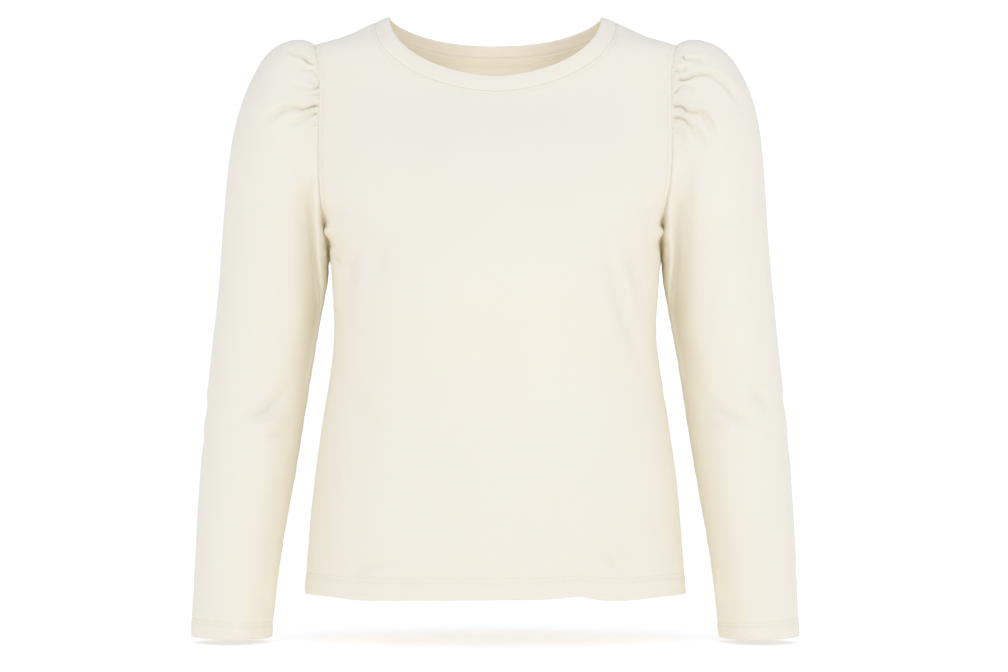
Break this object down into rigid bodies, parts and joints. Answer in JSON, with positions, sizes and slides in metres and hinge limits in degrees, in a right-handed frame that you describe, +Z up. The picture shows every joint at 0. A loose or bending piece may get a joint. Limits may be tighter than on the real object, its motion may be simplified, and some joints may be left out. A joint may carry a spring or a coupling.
{
  "type": "puff-sleeve sweatshirt",
  "caption": "Long-sleeved round-neck sweatshirt with gathered puff sleeve heads, filled out as worn, open at neck, hem and cuffs.",
  "frame": {"origin": "level with the two highest points of the neckband and midway between them, in the plane of the shoulder and side seams", "axes": "+X to the wearer's left, -Y out of the front, +Z up"},
  "size_m": [0.6196, 0.2251, 0.6364],
  "materials": {
    "knit": "matt cream cotton knit, smooth face",
    "tape": "matt cotton tape"
  },
  "bodies": {
    "root": {"front": "knit", "back": "knit", "sleeve_l": "knit", "sleeve_r": "knit", "neckband": "knit", "neck_tape": "tape"}
  },
  "joints": []
}
